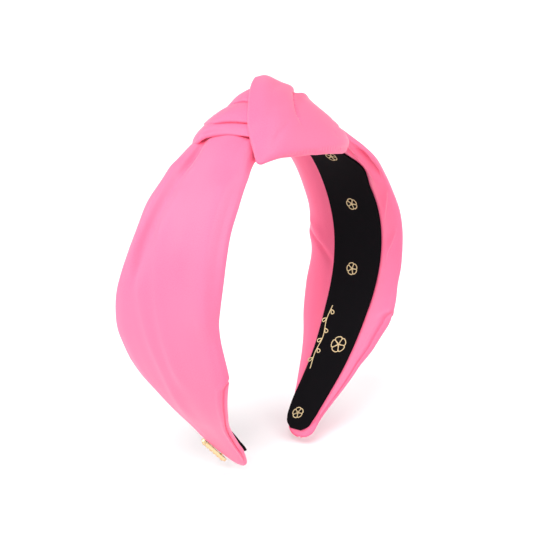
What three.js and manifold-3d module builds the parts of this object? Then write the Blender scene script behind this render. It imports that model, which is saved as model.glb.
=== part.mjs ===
// Knotted headband: a springy plastic band in a fabric cover that is tied in one knot at the crown.
//
// Millimetres, +Z up. The origin is the middle of the crown, on the inner face of the lining.
// +X is the right arm, -X the left arm and -Y the front.
// Every layer is drawn in band coordinates [s, y, h]:
//   s  distance along the band from the middle of the crown, positive down the right arm
//   y  distance across the band, negative towards the front
//   h  distance outwards from the inner face of the lining

import * as THREE from 'three';
import { mergeVertices } from 'three/addons/utils/BufferGeometryUtils.js';
import Module from 'manifold-3d';

const wasm = await Module();
wasm.setup();

// ---- driving dimensions ----

const BAND_STRETCHES = [
  { length: 125, radius: 63.5 },
  { length: 31, radius: 97 },
  { length: 31, radius: Infinity },
];
const BAND_HALF_LENGTH = 187;
const TIP_SET_BACK = 2.8;
const LEFT_TIP_LEAN = 4;
const LEAN_POWER = 8;
const STATION_STEP = 10;

const GAP = 0.3;
const LINING_THICKNESS = 0.6;
const CORE_BOTTOM = LINING_THICKNESS + GAP;
const CORE_TOP = CORE_BOTTOM + 1.5;
const CORE_TIP_TOP = CORE_BOTTOM + 1;
const COVER_TOP = 4.9;
const COVER_WALL = 0.6;
const COVER_TIP_TOP = CORE_TIP_TOP + GAP + COVER_WALL;
const COVER_EDGE_HEIGHT = 1.2;
const COVER_NOSE = 1.6;
const COVER_FLAT_SHARE = 0.55;
const INTERLINING_INSET = COVER_WALL + 0.45;
const INTERLINING_THICKNESS = 0.8;
const INTERLINING_EDGE_ANGLE = 20;

const LINING_END = BAND_HALF_LENGTH;
const CORE_END = 185.5;
const INTERLINING_END = 150;
const CAVITY_END = 188.6;
const COVER_END = 190.8;

// Half-widths of the layers, as [distance along the band, half-width].
const LINING_EDGE = [[0, 11.8], [112, 11.8], [150, 9.3], [178, 6.6], [184, 5], [LINING_END, 2.6]];
const CORE_EDGE = [[0, 13], [112, 13], [150, 9.6], [178, 4.8], [183, 3.8], [CORE_END, 2.4]];
const COVER_EDGE = [
  [0, 21.4], [45, 21.4], [75, 24.6], [112, 27], [135, 22.6], [165, 12.6], [172, 10.2], [178, 8.3],
  [183, 6.6], [187, 4.8], [189.6, 3.2], [COVER_END, 2.2],
];

// The heights of the band's and the cover's outer faces, which thin out along the tapered ends.
const CORE_HEIGHT = [[0, CORE_TOP], [140, CORE_TOP], [165, CORE_TIP_TOP], [CORE_END, CORE_TIP_TOP]];
const COVER_HEIGHT = [
  [0, COVER_TOP], [150, COVER_TOP], [160, 3.8], [170, COVER_TIP_TOP], [COVER_END, COVER_TIP_TOP],
];

// Where the arms flex. The layers are cut away on a slant there, so that an arm can turn.
const FLEX_AT = 40;
const FLEX_HEIGHT = (CORE_BOTTOM + CORE_TOP) / 2;
const OPENING_RELIEF = 13;
const CLOSING_RELIEF = 5;
const FLEX_GAP = 0.2;

// The knot. Its strap crosses the band on a slant, up the front on the left and down the back
// on the right, and the gathered end of each arm's fabric runs in under the strap.
const KNOT_EDGE = 26.5;
const KNOT_HALF_LENGTH = 41;
const KNOT_NARROWS_FROM = 24;
const KNOT_HEIGHT = 20.5;
const FRONT_DROOP = 8;
const BACK_DROOP = 2.6;
const STRAP_SLANT = 0.733;
const STRAP_HALF_WIDTH = 18.9;
const STRAP_REACH = 32;
const STRAP_ROUNDNESS = 19;
const STRAP_GAP = 0.9;
const PLEAT_COUNT = 3;
const PLEAT_DEPTH = 0.7;
const PLEAT_SWELL = 5;
const PLEAT_SWELL_AT = 18;

// A plain metal badge on the far shoulder of the left arm, with two prongs through the fabric.
const BADGE_AT = 179;
const BADGE_ANGLE = 35;
const BADGE_LENGTH = 15;
const BADGE_WIDTH = 4.2;
const BADGE_THICKNESS = 0.9;
const PRONG_DEPTH = 1.1;
const PRONG_SPACING = 8;
const PRONG_RADIUS = 0.5;

const PINK = '#ff86b8';
const BLACK = '#141214';
const CREAM = '#e9e4da';
const SMOKE = '#3a3a3d';
const GOLD = '#d9b36a';

// ---- band coordinates ----

// A smooth curve through [distance, value] pairs, the same on both arms.
function interpolate(pairs) {
  const places = pairs.map((pair) => pair[0]);
  const values = pairs.map((pair) => pair[1]);
  const curve = new THREE.CubicInterpolant(places, values, 1, new Float64Array(1));
  return (s) => curve.evaluate(Math.abs(s))[0];
}

const liningEdge = interpolate(LINING_EDGE);
const coreEdge = interpolate(CORE_EDGE);
const coverEdge = interpolate(COVER_EDGE);
const coreTop = interpolate(CORE_HEIGHT);
const coverTop = interpolate(COVER_HEIGHT);

// Where the lining's inner face is at a distance down one arm, and how far the band has turned there.
function bandLine(distance) {
  let [x, z, turn, left] = [0, 0, 0, distance];
  for (const [i, { length, radius }] of BAND_STRETCHES.entries()) {
    const run = i === BAND_STRETCHES.length - 1 ? left : Math.min(left, length);
    const next = turn + run / radius;
    if (radius === Infinity) {
      x += run * Math.cos(turn);
      z -= run * Math.sin(turn);
    } else {
      x += radius * (Math.sin(next) - Math.sin(turn));
      z += radius * (Math.cos(next) - Math.cos(turn));
    }
    turn = next;
    left -= run;
  }
  return { x, z, turn };
}

// The tips are set back a little, and the left one leans forward at its very end.
function place([s, y, h]) {
  const { x, z, turn } = bandLine(Math.abs(s));
  const side = s < 0 ? -1 : 1;
  const share = Math.abs(s) / BAND_HALF_LENGTH;
  const lean = s < 0 ? LEFT_TIP_LEAN * share ** LEAN_POWER : 0;
  const setBack = TIP_SET_BACK * share ** 2 - lean;
  return new THREE.Vector3(side * (x + Math.sin(turn) * h), y + setBack, z + Math.cos(turn) * h);
}

// ---- solids ----

function toSolid(geometry) {
  const bare = geometry.clone();
  bare.deleteAttribute('normal');
  bare.deleteAttribute('uv');
  const merged = mergeVertices(bare, 1e-5);
  const vertProperties = Float32Array.from(merged.attributes.position.array);
  const triVerts = Uint32Array.from(merged.index.array);
  return new wasm.Manifold(new wasm.Mesh({ numProp: 3, vertProperties, triVerts }));
}

function toGeometry(solid) {
  const { vertProperties, triVerts } = solid.getMesh();
  const geometry = new THREE.BufferGeometry();
  geometry.setAttribute('position', new THREE.BufferAttribute(vertProperties, 3));
  geometry.setIndex(new THREE.BufferAttribute(triVerts, 1));
  geometry.computeVertexNormals();
  return geometry;
}

// A solid through rings of [s, y, h] points. The rings run towards +s, and the points of each
// run anticlockwise as seen from +s.
function loft(rings) {
  const size = rings[0].length;
  const position = rings.flat().flatMap((point) => place(point).toArray());
  const index = [];
  for (let ring = 0; ring + 1 < rings.length; ring++) {
    for (let i = 0; i < size; i++) {
      const a = ring * size + i;
      const b = ring * size + (i + 1) % size;
      index.push(a, b, a + size, b, b + size, a + size);
    }
  }
  const outline = (ring) => ring.map(([, y, h]) => new THREE.Vector2(y, h));
  const last = (rings.length - 1) * size;
  for (const [a, b, c] of THREE.ShapeUtils.triangulateShape(outline(rings[0]), [])) {
    index.push(a, c, b);
  }
  for (const [a, b, c] of THREE.ShapeUtils.triangulateShape(outline(rings.at(-1)), [])) {
    index.push(last + a, last + b, last + c);
  }
  const geometry = new THREE.BufferGeometry();
  geometry.setAttribute('position', new THREE.Float32BufferAttribute(position, 3));
  geometry.setIndex(index);
  return toSolid(geometry);
}

// A loft with one outline of [y, h] points at each station along the band.
function sweep(stations, outlineAt) {
  return loft(stations.map((s) => outlineAt(s).map(([y, h]) => [s, y, h])));
}

function spaced(from, to, count) {
  return Array.from({ length: count + 1 }, (_, i) => from + (to - from) * i / count);
}

// Stations down one arm. All layers share them, so that their facets keep the same gaps.
function armStations(...ends) {
  const regular = [];
  for (let s = 0; s < ends[0] - 1; s += STATION_STEP) regular.push(s);
  return [...regular, ...ends];
}

const onLeft = (stations) => stations.map((s) => -s).reverse();
const bothArms = (stations) => [...onLeft(stations.slice(1)), ...stations];

// ---- outlines across the band ----

const mirrorPoints = (points) => points.map(([y, h]) => [-y, h]).reverse();

function ribbon(halfWidth, low, high) {
  return [[-halfWidth, low], [halfWidth, low], [halfWidth, high], [-halfWidth, high]];
}

// A bar with chamfered edges.
function bar(halfWidth, low, high) {
  const chamfer = (high - low) / 3;
  const far = [
    [halfWidth - chamfer, low], [halfWidth, low + chamfer],
    [halfWidth, high - chamfer], [halfWidth - chamfer, high],
  ];
  return [...far, ...mirrorPoints(far)];
}

// The far shoulder of the cover's outer panel, from a place near its edge to its flat middle.
function shoulder(s, inset, fromDegrees) {
  const halfWidth = coverEdge(s);
  const middle = COVER_FLAT_SHARE * halfWidth;
  return spaced(fromDegrees, 90, 5).map((degrees) => {
    const angle = THREE.MathUtils.degToRad(degrees);
    const y = middle + (halfWidth - middle - inset) * Math.cos(angle);
    return [y, COVER_EDGE_HEIGHT + (coverTop(s) - COVER_EDGE_HEIGHT - inset) * Math.sin(angle)];
  });
}

// The closed outline of the cover, or of the room inside it at a depth of inset.
function coverOutline(s, inset, floor) {
  const nose = spaced(-90, -30, 2).map((degrees) => {
    const angle = THREE.MathUtils.degToRad(degrees);
    const y = coverEdge(s) - COVER_NOSE + (COVER_NOSE - inset) * Math.cos(angle);
    return [y, COVER_EDGE_HEIGHT + (COVER_EDGE_HEIGHT - floor) * Math.sin(angle)];
  });
  const far = [...nose, ...shoulder(s, inset, 0)];
  return [...far, ...mirrorPoints(far)];
}

// A thin sheet that follows the inside of the cover's outer panel.
function interliningOutline(s) {
  const outer = shoulder(s, INTERLINING_INSET, INTERLINING_EDGE_ANGLE);
  const depth = INTERLINING_INSET + INTERLINING_THICKNESS;
  const inner = shoulder(s, depth, INTERLINING_EDGE_ANGLE);
  const innerFar = inner.slice().reverse();
  return [...mirrorPoints(innerFar), ...innerFar, ...outer, ...mirrorPoints(outer)];
}

// ---- cutting tools ----

// The room that the lining takes, and the open space on its inner side.
const liningRoom = sweep(bothArms(armStations(178, 184, LINING_END + GAP)), (s) =>
  ribbon(liningEdge(s) + 1.4 * GAP, -2 * FRONT_DROOP, CORE_BOTTOM));

const coreRoom = sweep(bothArms(armStations(178, 183, CORE_END + GAP)), (s) =>
  ribbon(coreEdge(s) + GAP, LINING_THICKNESS, CORE_TOP + GAP));

// A wedge that holds one arm or the crown, with its tip at the place where the arm flexes.
function flexPoint(shift, outward, inward) {
  const { turn } = bandLine(FLEX_AT);
  const pivot = place([FLEX_AT, 0, FLEX_HEIGHT]);
  const ray = (reach, degrees) => {
    const angle = turn + THREE.MathUtils.degToRad(degrees);
    return [pivot.x + Math.sin(angle) * reach, pivot.z + Math.cos(angle) * reach];
  };
  const tip = [pivot.x + Math.cos(turn) * shift, pivot.z - Math.sin(turn) * shift];
  return { outer: ray(60, outward), tip, inner: ray(-25, inward) };
}

function prism(points) {
  const shape = new THREE.Shape(points.map(([x, z]) => new THREE.Vector2(x, z)));
  const geometry = new THREE.ExtrudeGeometry(shape, { depth: 120, bevelEnabled: false });
  geometry.translate(0, 0, -60);
  geometry.rotateX(Math.PI / 2);
  return toSolid(geometry);
}

const armSide = flexPoint(FLEX_GAP, OPENING_RELIEF, -CLOSING_RELIEF);
const crownSide = flexPoint(-FLEX_GAP, -OPENING_RELIEF, CLOSING_RELIEF);
const mirrorPair = ([x, z]) => [-x, z];
const armRoom = prism([armSide.inner, [2, -170], [130, -170], [130, 0], armSide.outer, armSide.tip]);
const crownRoom = prism([
  mirrorPair(crownSide.inner), crownSide.inner, crownSide.tip, crownSide.outer,
  mirrorPair(crownSide.outer), mirrorPair(crownSide.tip),
]);

const mirrorX = (solid) => solid.mirror([1, 0, 0]);
const leftArmRoom = mirrorX(armRoom);

// ---- the flat layers ----

const lining = sweep(bothArms(armStations(178, 184, LINING_END)), (s) =>
  ribbon(liningEdge(s), 0, LINING_THICKNESS));

const core = sweep(bothArms(armStations(178, 183, CORE_END)), (s) =>
  bar(coreEdge(s), CORE_BOTTOM, coreTop(s)));

const interliningStations = armStations(INTERLINING_END).slice(3);
const interliningRight = sweep(interliningStations, interliningOutline).intersect(armRoom);
const interliningLeft = sweep(onLeft(interliningStations), interliningOutline).intersect(leftArmRoom);

// The cover of one arm: an outer panel whose edges fold round to the lining, closed at the tip.
function coverArm(toSide, room) {
  const outerStations = armStations(172, 178, 183, 187, 189.6, COVER_END).slice(3);
  const innerStations = armStations(172, 178, 183, 187, CAVITY_END).slice(2);
  const outside = sweep(toSide(outerStations), (s) => coverOutline(s, 0, 0));
  const inside = sweep(toSide(innerStations), (s) => coverOutline(s, COVER_WALL, LINING_THICKNESS));
  return outside.subtract(inside).subtract(liningRoom).intersect(room);
}

// ---- the knot ----

const smoothstep = THREE.MathUtils.smoothstep;

function knotEdge(s) {
  const narrowing = smoothstep(Math.abs(s), KNOT_NARROWS_FROM, KNOT_HALF_LENGTH);
  return THREE.MathUtils.lerp(KNOT_EDGE, coverEdge(FLEX_AT), narrowing);
}

// The outer surface of the knot at a share of the way across, from -1 at the front to 1 at the back.
function knotTop(s, share, isStrap) {
  const y = share * knotEdge(s);
  const slantLength = Math.hypot(STRAP_SLANT, 1);
  const along = (STRAP_SLANT * s + y) / slantLength;
  const across = (s - STRAP_SLANT * y) / slantLength;
  const lengthways = Math.max(0, 1 - Math.abs(along / STRAP_REACH) ** 2.6) ** 0.6;
  const crossways = Math.sqrt(Math.max(0, 1 - (across / STRAP_ROUNDNESS) ** 2));
  const swell = Math.exp(-(((Math.abs(s) - PLEAT_SWELL_AT) / 14) ** 2));
  const ridges = PLEAT_DEPTH * Math.cos(PLEAT_COUNT * Math.PI * share);
  const pleats = COVER_TOP + PLEAT_SWELL * swell + ridges;
  const height = isStrap ? Math.max(KNOT_HEIGHT * lengthways * crossways, COVER_TOP) : pleats;
  const fallAtEdge = Math.sqrt(1 - share ** 4);
  return COVER_EDGE_HEIGHT + (height - COVER_EDGE_HEIGHT) * fallAtEdge;
}

// The under side, which droops below the edges of the band beside the lining, most of all in front.
function knotBottom(s, share) {
  const out = Math.abs(share);
  const full = share < 0 ? FRONT_DROOP : BACK_DROOP;
  const droop = full * (1 - smoothstep(Math.abs(s), KNOT_NARROWS_FROM, KNOT_HALF_LENGTH));
  const rise = Math.sqrt(Math.max(0, 1 - (Math.max(0, out - 0.86) / 0.14) ** 2));
  return -droop * smoothstep(out, 0.46, 0.86) * rise;
}

const TOP_SHARES = [1, 0.95, 0.85, 0.7, 0.5, 0.3, 0.1];
const BOTTOM_SHARES = [0.15, 0.46, 0.65, 0.86, 0.96];

// Where a slanted line across the band reaches a share of the way to the knot's edge. The edge
// depends on the answer, so it is found by a few repeats.
function slantedPlace(middle, slant, share) {
  let s = middle;
  for (let i = 0; i < 8; i++) s = middle + slant * share * knotEdge(s);
  return s;
}

// A part of the knot between two slanted edges, each given by where it crosses the middle line.
function knotPart(from, to, slantFrom, slantTo, count, isStrap) {
  const bottom = [...BOTTOM_SHARES.map((c) => -c).reverse(), ...BOTTOM_SHARES];
  const top = [...TOP_SHARES, ...TOP_SHARES.map((c) => -c).reverse()];
  const ring = (fraction) => {
    const middle = THREE.MathUtils.lerp(from, to, fraction);
    const slant = THREE.MathUtils.lerp(slantFrom, slantTo, fraction);
    const at = (share, height) => {
      const s = slantedPlace(middle, slant, share);
      return [s, share * knotEdge(s), height(s, share, isStrap)];
    };
    return [...bottom.map((c) => at(c, knotBottom)), ...top.map((c) => at(c, knotTop))];
  };
  return loft(spaced(0, 1, count).map(ring))
    .subtract(liningRoom).subtract(coreRoom).intersect(crownRoom);
}

const knotWrap = () =>
  knotPart(-STRAP_HALF_WIDTH, STRAP_HALF_WIDTH, STRAP_SLANT, STRAP_SLANT, 10, true);
const pleatsLeft = () =>
  knotPart(-KNOT_HALF_LENGTH, -STRAP_HALF_WIDTH - STRAP_GAP, 0, STRAP_SLANT, 6, false);
const pleatsRight = () =>
  knotPart(STRAP_HALF_WIDTH + STRAP_GAP, KNOT_HALF_LENGTH, STRAP_SLANT, 0, 6, false);

// ---- the badge ----

// A flat pill outline along the band, at a height above the lining, on the right arm.
function pill(length, width, low, thickness) {
  const straight = (length - width) / 2;
  const shape = new THREE.Shape();
  shape.moveTo(-straight, -width / 2);
  shape.lineTo(straight, -width / 2);
  shape.absarc(straight, 0, width / 2, -Math.PI / 2, Math.PI / 2);
  shape.lineTo(-straight, width / 2);
  shape.absarc(-straight, 0, width / 2, Math.PI / 2, 3 * Math.PI / 2);
  const options = { depth: thickness, bevelEnabled: false, curveSegments: 6 };
  const geometry = new THREE.ExtrudeGeometry(shape, options);
  geometry.translate(0, 0, low);
  return toSolid(geometry);
}

function prong(at, radius, low, high) {
  const geometry = new THREE.CylinderGeometry(radius, radius, high - low, 10);
  geometry.rotateX(Math.PI / 2);
  geometry.translate(at, 0, (low + high) / 2);
  return toSolid(geometry);
}

function prongs(radius, low, high) {
  const half = PRONG_SPACING / 2;
  return prong(-half, radius, low, high).add(prong(half, radius, low, high));
}

// Turns a piece drawn flat onto the left arm's far shoulder. Its length, along X, follows the arm's
// taper, and its height, along Z, starts from the cover's outer face.
function onShoulder(solid) {
  const halfWidth = coverEdge(BADGE_AT);
  const reach = halfWidth * (1 - COVER_FLAT_SHARE);
  const rise = coverTop(BADGE_AT) - COVER_EDGE_HEIGHT;
  const angle = THREE.MathUtils.degToRad(BADGE_ANGLE);
  const y = halfWidth - reach * (1 - Math.cos(angle));
  const h = COVER_EDGE_HEIGHT + rise * Math.sin(angle);
  const tilt = Math.atan2(Math.cos(angle) / reach, Math.sin(angle) / rise);
  const span = BADGE_LENGTH / 2;
  const taper = Math.atan2(coverEdge(BADGE_AT - span) - coverEdge(BADGE_AT + span), BADGE_LENGTH);
  const { turn } = bandLine(BADGE_AT);
  const turned = new THREE.Matrix4().makeRotationY(turn)
    .multiply(new THREE.Matrix4().makeRotationZ(-taper))
    .multiply(new THREE.Matrix4().makeRotationX(-tilt));
  turned.setPosition(place([-BADGE_AT, y, h]).multiply(new THREE.Vector3(-1, 1, 1)));
  return mirrorX(solid.transform(turned.elements));
}

const badgePlate = onShoulder(pill(BADGE_LENGTH, BADGE_WIDTH, GAP, BADGE_THICKNESS)
  .add(prongs(PRONG_RADIUS, -PRONG_DEPTH, GAP + BADGE_THICKNESS / 2)));
const badgeHoles = onShoulder(prongs(PRONG_RADIUS + GAP, -PRONG_DEPTH - GAP, 1));

// ---- the assembly ----

const headband = new THREE.Group();

function addPiece(name, solid, color, roughness, metalness = 0) {
  const material = new THREE.MeshStandardMaterial({ color, roughness, metalness });
  const mesh = new THREE.Mesh(toGeometry(solid), material);
  mesh.name = name;
  headband.add(mesh);
}

addPiece('core_crown', core.intersect(crownRoom), SMOKE, 0.45);
addPiece('core_right_arm', core.intersect(armRoom), SMOKE, 0.45);
addPiece('core_left_arm', core.intersect(leftArmRoom), SMOKE, 0.45);
addPiece('lining_crown', lining.intersect(crownRoom), BLACK, 0.9);
addPiece('lining_right_arm', lining.intersect(armRoom), BLACK, 0.9);
addPiece('lining_left_arm', lining.intersect(leftArmRoom), BLACK, 0.9);
addPiece('interlining_right', interliningRight, CREAM, 0.95);
addPiece('interlining_left', interliningLeft, CREAM, 0.95);
addPiece('cover_right', coverArm((stations) => stations, armRoom), PINK, 0.6);
addPiece('cover_left', coverArm(onLeft, leftArmRoom).subtract(badgeHoles), PINK, 0.6);
addPiece('knot_wrap', knotWrap(), PINK, 0.6);
addPiece('knot_pleats_left', pleatsLeft(), PINK, 0.6);
addPiece('knot_pleats_right', pleatsRight(), PINK, 0.6);
addPiece('badge_plate', badgePlate, GOLD, 0.3, 1);

export default headband;
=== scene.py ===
# Knotted headband in pink satin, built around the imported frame.
#
# Lengths in this script are millimetres until place() turns them into metres.
# Every layer is drawn in band coordinates [s, y, h]:
#   s  distance along the band from the middle of the crown, negative on the left arm
#   y  distance across the band, negative towards the front
#   h  distance outwards from the inner face of the lining

import math

import bmesh
import bpy
import numpy as np
from mathutils import Matrix, Vector


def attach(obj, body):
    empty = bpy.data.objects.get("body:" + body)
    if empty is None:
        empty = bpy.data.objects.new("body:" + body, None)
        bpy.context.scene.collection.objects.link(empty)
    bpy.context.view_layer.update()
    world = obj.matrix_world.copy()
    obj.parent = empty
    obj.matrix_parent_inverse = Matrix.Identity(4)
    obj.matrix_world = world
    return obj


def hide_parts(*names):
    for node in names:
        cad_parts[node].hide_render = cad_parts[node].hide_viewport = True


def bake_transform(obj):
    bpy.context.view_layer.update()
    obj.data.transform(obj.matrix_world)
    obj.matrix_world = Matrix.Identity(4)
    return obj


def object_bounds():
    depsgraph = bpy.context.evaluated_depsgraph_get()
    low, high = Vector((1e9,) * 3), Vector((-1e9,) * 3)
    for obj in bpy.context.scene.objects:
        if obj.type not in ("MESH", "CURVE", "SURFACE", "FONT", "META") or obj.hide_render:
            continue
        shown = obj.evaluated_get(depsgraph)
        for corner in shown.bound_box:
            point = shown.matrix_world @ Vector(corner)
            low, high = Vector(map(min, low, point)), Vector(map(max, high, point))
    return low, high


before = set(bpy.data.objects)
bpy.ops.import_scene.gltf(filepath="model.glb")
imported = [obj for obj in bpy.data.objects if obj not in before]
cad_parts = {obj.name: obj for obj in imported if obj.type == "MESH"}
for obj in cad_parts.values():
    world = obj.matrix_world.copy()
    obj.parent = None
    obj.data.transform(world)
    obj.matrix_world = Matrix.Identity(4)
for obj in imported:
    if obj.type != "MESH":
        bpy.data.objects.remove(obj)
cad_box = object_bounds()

MM = 0.001
WELD_DISTANCE = 0.002 * MM

# ---- the camera ----

CAMERA_AZIMUTH = math.radians(-52.93)
CAMERA_ELEVATION = math.radians(14.66)
CAMERA_ROLL = math.radians(0.40)
CAMERA_DISTANCE = 0.7
CAMERA_TARGET = Vector((0, 0, -0.06))
CAMERA_LENS = 112.7
CAMERA_SHIFT = (-0.0088, 0.0056)


def make_camera():
    back = Vector((
        math.sin(CAMERA_AZIMUTH) * math.cos(CAMERA_ELEVATION),
        -math.cos(CAMERA_AZIMUTH) * math.cos(CAMERA_ELEVATION),
        math.sin(CAMERA_ELEVATION),
    ))
    right = Vector((math.cos(CAMERA_AZIMUTH), math.sin(CAMERA_AZIMUTH), 0))
    up = back.cross(right)
    data = bpy.data.cameras.new("camera")
    data.lens = CAMERA_LENS
    data.shift_x, data.shift_y = CAMERA_SHIFT
    camera = bpy.data.objects.new("camera", data)
    bpy.context.scene.collection.objects.link(camera)
    turned = Matrix((right, up, back)).transposed().to_4x4()
    camera.matrix_world = (
        Matrix.Translation(CAMERA_TARGET + back * CAMERA_DISTANCE)
        @ turned
        @ Matrix.Rotation(CAMERA_ROLL, 4, "Z")
    )
    bpy.context.scene.camera = camera


make_camera()

# ---- driving dimensions ----

BAND_STRETCHES = ((125, 63.5), (31, 97), (31, math.inf))
BAND_HALF_LENGTH = 187
TIP_SET_BACK = 2.8
LEFT_TIP_LEAN = 4
LEAN_POWER = 8
COVER_START = 14

LINING_THICKNESS = 0.5
LINING_ROUNDING = 4
CORE_BOTTOM = 1.0
CORE_THICKNESS = 1.3
CORE_END = 185
CORE_ROUNDING = 4
INTERLINING_BOTTOM = 2.4
INTERLINING_TOP = 3.1
FABRIC_THICKNESS = 0.45
EDGE_HEIGHT = 1.3
PANEL_HEIGHT = 4.7
TIP_HEIGHT = 2.8
COVER_BOTTOM = 0.85
THINS_BETWEEN = (132, 172)
MARGIN_BULGES = {"near": 1.2, "far": 2.6}

# Beside the knot the cover stands higher, and the lift fades out between two distances.
KNOT_LIFTS = {"right": 0.6, "left": 3.2}
LIFT_FADES_BETWEEN = (24, 52)

# Where the arms bend against the crown, as two distances; bend_with() places a point at each but leaves the
# piece unbent.
BEND_FROM = 36
BEND_TO = 62

# Edges of the layers on each arm, as (distance along the band, distance from its middle line).
EDGES = {
    "right": {
        "near": ((0, 16), (28, 16), (36, 16.6), (42, 18.6), (50, 21), (59, 21.6), (69, 22.6), (80, 24.2),
                 (88, 24.4), (97, 24.1), (105, 23.8), (112, 23.2), (121, 23.8), (129, 23.4), (137, 20.9),
                 (143, 19.3), (151, 16.3), (157, 15.1), (163, 13.7), (173, 11), (180, 9.5), (184, 9.2)),
        "far": ((0, 24), (30, 26), (56, 26.3), (70, 26), (91, 25.2), (95, 26), (102, 24.6), (119, 25),
                (132, 22.4), (143, 18.2), (157, 13.4), (168, 9.8), (176, 7.7), (181, 6), (184, 4.7)),
        "lining_near": ((0, 3), (38, 3), (46.5, 6.7), (54, 12), (67, 12.2), (77, 13.4), (88, 13.9),
                        (104, 13.4), (118, 12.2), (130, 11), (146, 9.9), (158, 9.2), (174, 7.5),
                        (181, 6.6), (185, 5.4), (187, 3)),
        "lining_far": ((0, 13), (52, 13.5), (68, 13.2), (80, 12.4), (93, 11.5), (106, 11.2), (132, 10.8),
                       (149, 9.4), (161, 8.6), (177, 7.8), (182, 6.8), (185, 5.2), (187, 2.6)),
    },
    "left": {
        "near": ((0, 17), (36, 16.8), (42, 18.8), (47, 20), (56, 22), (66, 23.2), (76, 24.7), (86, 25.6),
                 (94, 25.4), (101, 24.9), (107, 25.4), (114, 26.4), (120, 26.8), (124.5, 26.4),
                 (128, 24.9), (136, 21.5), (147, 17), (156, 13), (162, 11.2), (166, 10.4), (172, 9.3),
                 (177, 8.6), (181, 7.2), (185, 5.2)),
        "far": ((0, 17), (24, 17), (34, 18.2), (42, 19), (50, 19.4), (60, 21.4), (72, 21.7), (80, 23.2),
                (88, 25.2), (97, 27.2), (105, 27.8), (112, 27.6), (118, 26), (125, 24.1), (131, 21.6),
                (139, 17), (150, 13), (157, 11.4), (163, 10.6), (172, 9.6), (178, 7.4), (182, 5.2),
                (185, 3.4)),
        "lining_near": ((0, 12), (112, 12), (150, 9.8), (165, 8.2), (173, 7.4), (178, 7.3), (180.2, 6),
                        (181.2, 3)),
        "lining_far": ((0, 12), (112, 12), (150, 9.5), (170, 7.4), (178, 6.2), (180.2, 5), (181.2, 2.6)),
    },
}

# Half widths of the hidden layers, as (distance along the band, distance from its middle line).
CORE_WIDTHS = ((0, 12.6), (112, 12.6), (150, 9.2), (178, 4.6), (183, 3.6), (186, 1.6))
INTERLINING_WIDTHS = ((60, 16), (75, 18), (112, 20), (135, 16.5), (150, 11))

# Each tip is a dome: where it starts and ends along the band, its middle across it, where the lining
# ends, and the angle at which the dome takes over from the arm's taper.
TIPS = {"right": (184, 189.4, -3, 187, 0), "left": (185, 188.3, -0.9, 181.2, 50)}
DOME_POWER = 2.3


# ---- curves and band coordinates ----


def curve(knots, values, at):
    """A smooth curve through the values at the knots, read at every place in at."""
    knots, values = np.asarray(knots, float), np.asarray(values, float)
    at = np.asarray(at, float)
    steps = np.diff(knots)
    rises = (np.diff(values, axis=0).T / steps).T
    slopes = np.empty_like(values)
    slopes[0], slopes[-1] = rises[0], rises[-1]
    before, after = steps[:-1], steps[1:]
    slopes[1:-1] = ((rises[:-1].T * after + rises[1:].T * before) / (before + after)).T
    i = np.clip(np.searchsorted(knots, at, "right") - 1, 0, len(steps) - 1)
    shape = at.shape + (1,) * (values.ndim - 1)
    t = ((at - knots[i]) / steps[i]).reshape(shape)
    step = steps[i].reshape(shape)
    return (
        (1 + 2 * t) * (1 - t) ** 2 * values[i]
        + t * (1 - t) ** 2 * step * slopes[i]
        + t**2 * (3 - 2 * t) * values[i + 1]
        - t**2 * (1 - t) * step * slopes[i + 1]
    )


def edge(arm, name, s):
    pairs = np.array(EDGES[arm][name], float)
    return curve(pairs[:, 0], pairs[:, 1], np.clip(s, pairs[0, 0], pairs[-1, 0]))


def ease(low, high, value):
    """0 below low, 1 above high and a smooth rise between them."""
    t = np.clip((np.asarray(value, float) - low) / (high - low), 0, 1)
    return t * t * (3 - 2 * t)


def band_line(distance):
    """Where the lining's inner face is at a distance down one arm, and how far the band has turned."""
    x, z, turn = (np.zeros_like(distance) for _ in range(3))
    left = distance.copy()
    for i, (length, radius) in enumerate(BAND_STRETCHES):
        run = left if i == len(BAND_STRETCHES) - 1 else np.minimum(left, length)
        if math.isinf(radius):
            x = x + run * np.cos(turn)
            z = z - run * np.sin(turn)
        else:
            after = turn + run / radius
            x = x + radius * (np.sin(after) - np.sin(turn))
            z = z + radius * (np.cos(after) - np.cos(turn))
            turn = after
        left = left - run
    return x, z, turn


def place(points):
    """Band coordinates in millimetres as points of the frame in metres."""
    points = np.asarray(points, float)
    s, y, h = points[..., 0], points[..., 1], points[..., 2]
    side = np.where(s < 0, -1.0, 1.0)
    x, z, turn = band_line(np.abs(s))
    share = np.abs(s) / BAND_HALF_LENGTH
    lean = np.where(s < 0, LEFT_TIP_LEAN * share**LEAN_POWER, 0)
    return MM * np.stack([
        side * (x + np.sin(turn) * h),
        y + TIP_SET_BACK * share**2 - lean,
        z + np.cos(turn) * h,
    ], axis=-1)


def net(rows, row_knots, column_knots, row_count, column_count):
    """A smooth surface through a small net of points, as a fine grid of points."""
    rows = np.asarray(rows, float)
    along = np.linspace(row_knots[0], row_knots[-1], row_count)
    across = np.linspace(column_knots[0], column_knots[-1], column_count)
    fine = curve(row_knots, rows, along)
    return np.swapaxes(curve(column_knots, np.swapaxes(fine, 0, 1), across), 0, 1)


# ---- meshes ----


def piece_of(name, vertices, faces, uvs=None):
    mesh = bpy.data.meshes.new(name)
    mesh.from_pydata([tuple(v) for v in vertices], [], faces)
    if uvs is not None:
        layer = mesh.uv_layers.new(name="cloth")
        corners = np.array([i for face in faces for i in face])
        layer.data.foreach_set("uv", np.asarray(uvs, np.float32)[corners].ravel())
    mesh.polygons.foreach_set("use_smooth", [True] * len(mesh.polygons))
    mesh.update()
    piece = bpy.data.objects.new(name, mesh)
    bpy.context.scene.collection.objects.link(piece)
    return piece


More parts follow.
